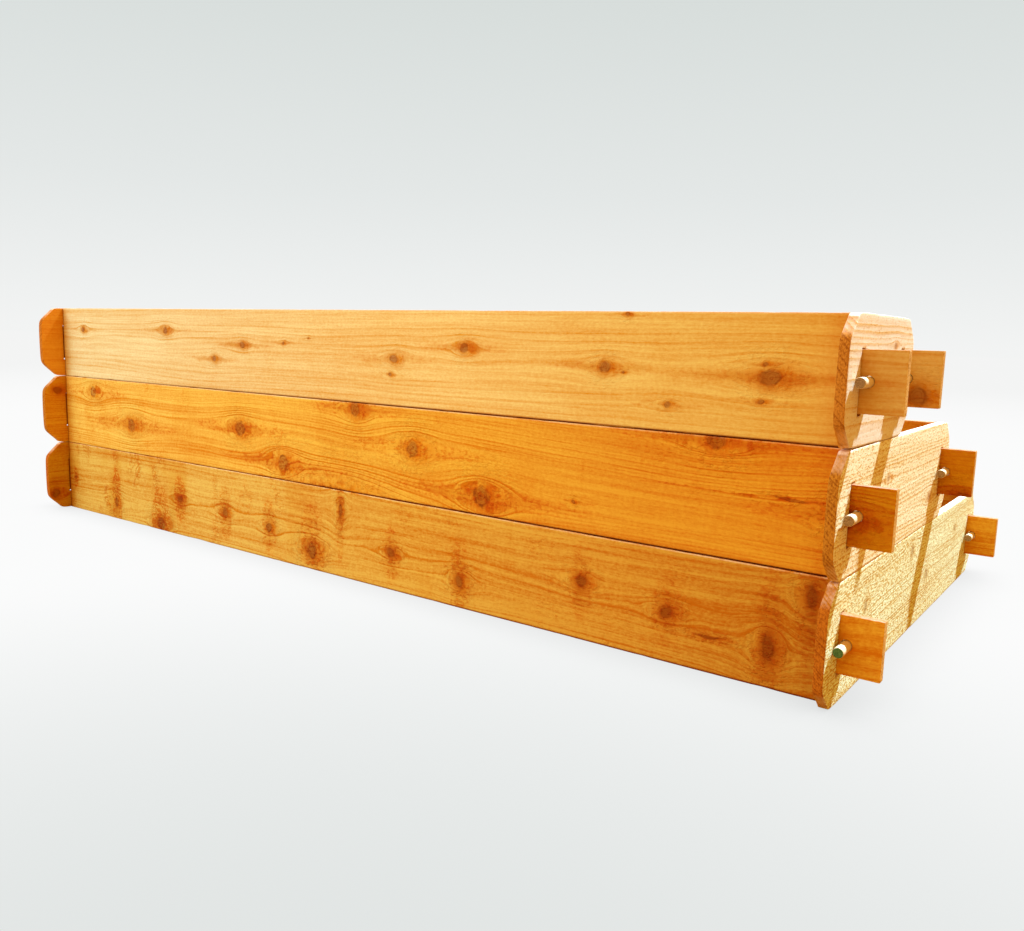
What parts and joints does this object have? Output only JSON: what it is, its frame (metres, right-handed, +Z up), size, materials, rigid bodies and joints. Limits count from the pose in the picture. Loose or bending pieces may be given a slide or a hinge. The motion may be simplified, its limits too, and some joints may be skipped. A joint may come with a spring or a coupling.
{
  "type": "stepped raised garden bed",
  "caption": "Stepped raised garden bed of stacked cedar board frames, open at top and bottom, with pegged through-tenon corners and clipped side board ends.",
  "frame": {"origin": "on the ground, under the middle of the bottom tier", "axes": "+X along the long boards, +Z up, the flush back wall towards -Y and the steps towards +Y"},
  "size_m": [2.334, 1.122, 0.5715],
  "materials": {
    "cedar_board": "planed and rough-sawn cedar, untreated",
    "peg_wood": "turned pale hardwood dowel"
  },
  "bodies": {
    "bottom_tier": {"bottom_back_board": "cedar_board", "bottom_front_board": "cedar_board", "bottom_left_side_board": "cedar_board", "bottom_right_side_board": "cedar_board"},
    "middle_tier": {"middle_back_board": "cedar_board", "middle_front_board": "cedar_board", "middle_left_side_board": "cedar_board", "middle_right_side_board": "cedar_board"},
    "top_tier": {"top_back_board": "cedar_board", "top_front_board": "cedar_board", "top_left_side_board": "cedar_board", "top_right_side_board": "cedar_board"},
    "bottom_back_left_peg": {"bottom_back_left_peg": "peg_wood"},
    "bottom_back_right_peg": {"bottom_back_right_peg": "peg_wood"},
    "bottom_front_left_peg": {"bottom_front_left_peg": "peg_wood"},
    "bottom_front_right_peg": {"bottom_front_right_peg": "peg_wood"},
    "middle_back_left_peg": {"middle_back_left_peg": "peg_wood"},
    "middle_back_right_peg": {"middle_back_right_peg": "peg_wood"},
    "middle_front_left_peg": {"middle_front_left_peg": "peg_wood"},
    "middle_front_right_peg": {"middle_front_right_peg": "peg_wood"},
    "top_back_left_peg": {"top_back_left_peg": "peg_wood"},
    "top_back_right_peg": {"top_back_right_peg": "peg_wood"},
    "top_front_left_peg": {"top_front_left_peg": "peg_wood"},
    "top_front_right_peg": {"top_front_right_peg": "peg_wood"}
  },
  "joints": [
    {"name": "middle_tier_lift", "type": "slide", "parent": "bottom_tier", "child": "middle_tier", "axis": [0, 0, 1], "range_m": [0, 0.25]},
    {"name": "top_tier_lift", "type": "slide", "parent": "middle_tier", "child": "top_tier", "axis": [0, 0, 1], "range_m": [0, 0.25]},
    {"name": "bottom_back_left_peg_pull", "type": "slide", "parent": "bottom_tier", "child": "bottom_back_left_peg", "axis": [0, -1, 0], "range_m": [0, 0.075]},
    {"name": "bottom_back_right_peg_pull", "type": "slide", "parent": "bottom_tier", "child": "bottom_back_right_peg", "axis": [0, -1, 0], "range_m": [0, 0.075]},
    {"name": "bottom_front_left_peg_pull", "type": "slide", "parent": "bottom_tier", "child": "bottom_front_left_peg", "axis": [0, 1, 0], "range_m": [0, 0.075]},
    {"name": "bottom_front_right_peg_pull", "type": "slide", "parent": "bottom_tier", "child": "bottom_front_right_peg", "axis": [0, 1, 0], "range_m": [0, 0.075]},
    {"name": "middle_back_left_peg_pull", "type": "slide", "parent": "middle_tier", "child": "middle_back_left_peg", "axis": [0, -1, 0], "range_m": [0, 0.075]},
    {"name": "middle_back_right_peg_pull", "type": "slide", "parent": "middle_tier", "child": "middle_back_right_peg", "axis": [0, -1, 0], "range_m": [0, 0.075]},
    {"name": "middle_front_left_peg_pull", "type": "slide", "parent": "middle_tier", "child": "middle_front_left_peg", "axis": [0, 1, 0], "range_m": [0, 0.075]},
    {"name": "middle_front_right_peg_pull", "type": "slide", "parent": "middle_tier", "child": "middle_front_right_peg", "axis": [0, 1, 0], "range_m": [0, 0.075]},
    {"name": "top_back_left_peg_pull", "type": "slide", "parent": "top_tier", "child": "top_back_left_peg", "axis": [0, -1, 0], "range_m": [0, 0.075]},
    {"name": "top_back_right_peg_pull", "type": "slide", "parent": "top_tier", "child": "top_back_right_peg", "axis": [0, -1, 0], "range_m": [0, 0.075]},
    {"name": "top_front_left_peg_pull", "type": "slide", "parent": "top_tier", "child": "top_front_left_peg", "axis": [0, 1, 0], "range_m": [0, 0.075]},
    {"name": "top_front_right_peg_pull", "type": "slide", "parent": "top_tier", "child": "top_front_right_peg", "axis": [0, 1, 0], "range_m": [0, 0.075]}
  ]
}
